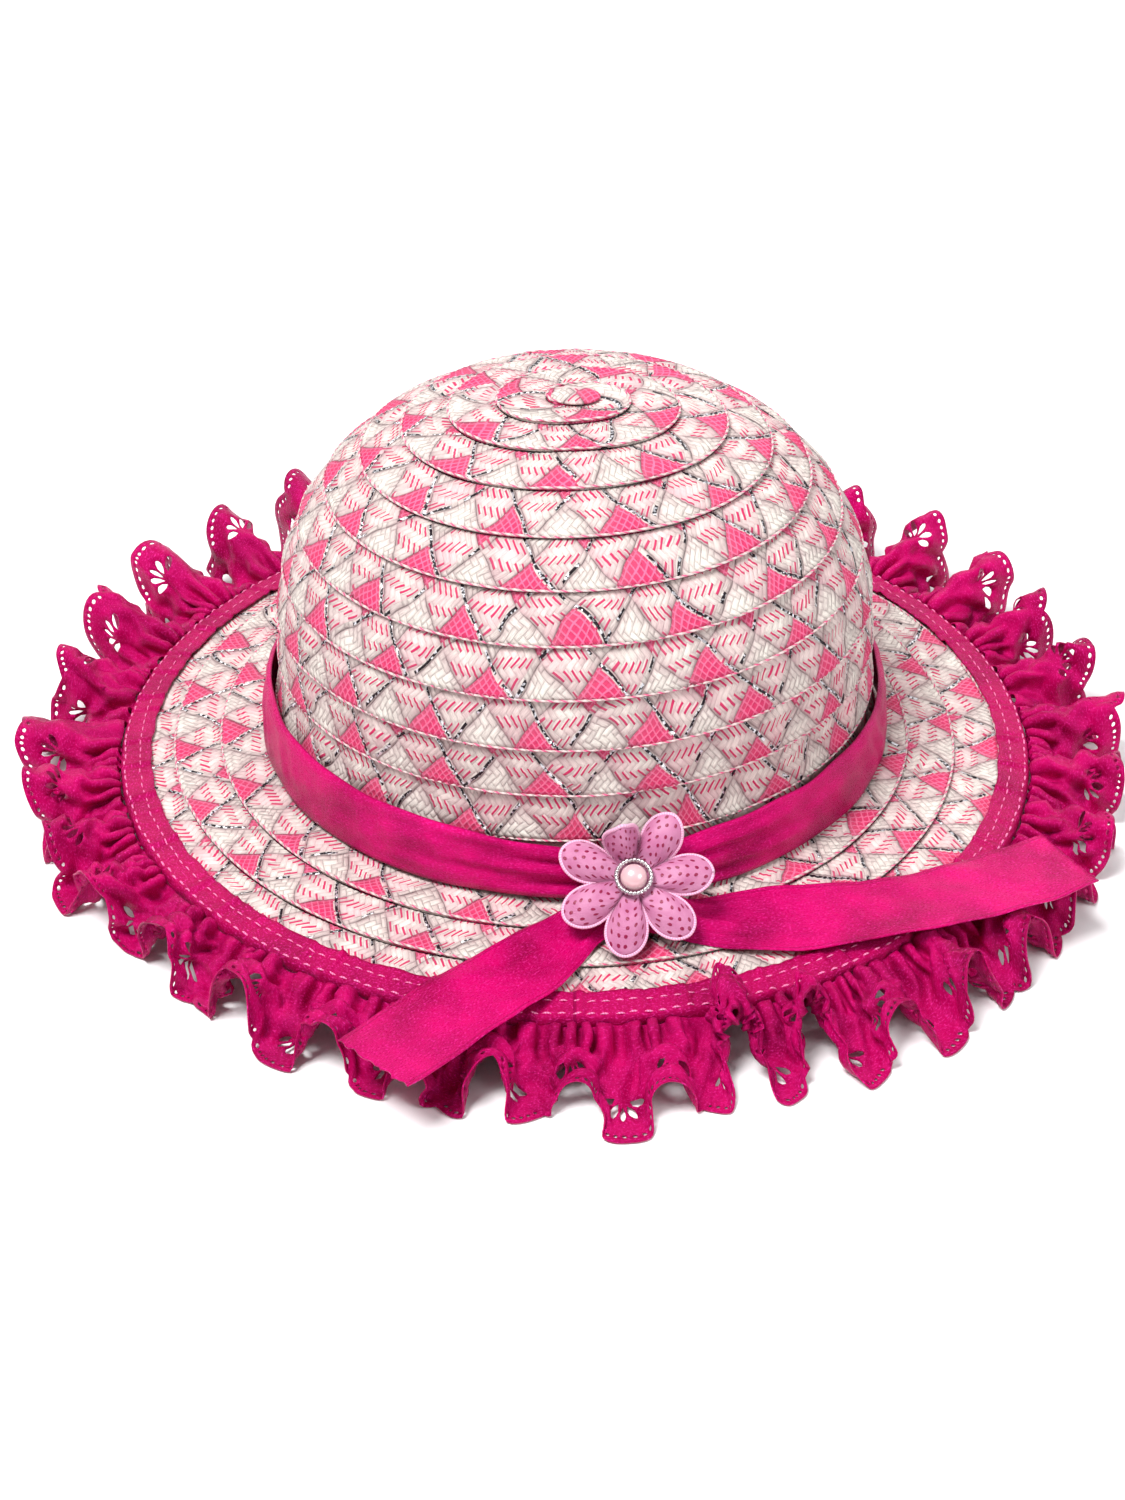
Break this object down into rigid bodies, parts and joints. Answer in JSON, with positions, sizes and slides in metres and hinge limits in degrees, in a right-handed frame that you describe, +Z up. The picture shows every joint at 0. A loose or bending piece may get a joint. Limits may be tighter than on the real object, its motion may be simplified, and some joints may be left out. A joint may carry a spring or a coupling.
{
  "type": "child's brimmed straw sun hat",
  "caption": "Child's sun hat of plaited straw braid with a domed crown, a satin band with crossed tails, a padded flower and a gathered frill round the brim.",
  "frame": {"origin": "centre of the hat's outline seen from above, at the level of the frill's lowest folds", "axes": "+Z up through the crown; the front with the flower faces -Y; +X to the hat's right as seen from the front"},
  "size_m": [0.3114, 0.313, 0.1166],
  "materials": {
    "straw_crown": "plaited paper straw in white, pink and silver thread",
    "straw_brim": "plaited paper straw in white, pink and silver thread",
    "satin_ribbon": "hot pink satin ribbon",
    "satin_tape": "hot pink satin tape",
    "satin_frill": "hot pink satin, gathered",
    "flower_cloth": "lilac pink cloth with small crimson dots",
    "pearl": "pearlescent",
    "silver_rope": "bright silver, twisted"
  },
  "bodies": {
    "root": {"crown": "straw_crown", "brim": "straw_brim", "hatband": "satin_ribbon", "tail_left": "satin_ribbon", "tail_right": "satin_ribbon", "binding": "satin_tape", "ruffle": "satin_frill", "flower": "flower_cloth", "pearl": "pearl", "pearl_setting": "silver_rope"}
  },
  "joints": []
}
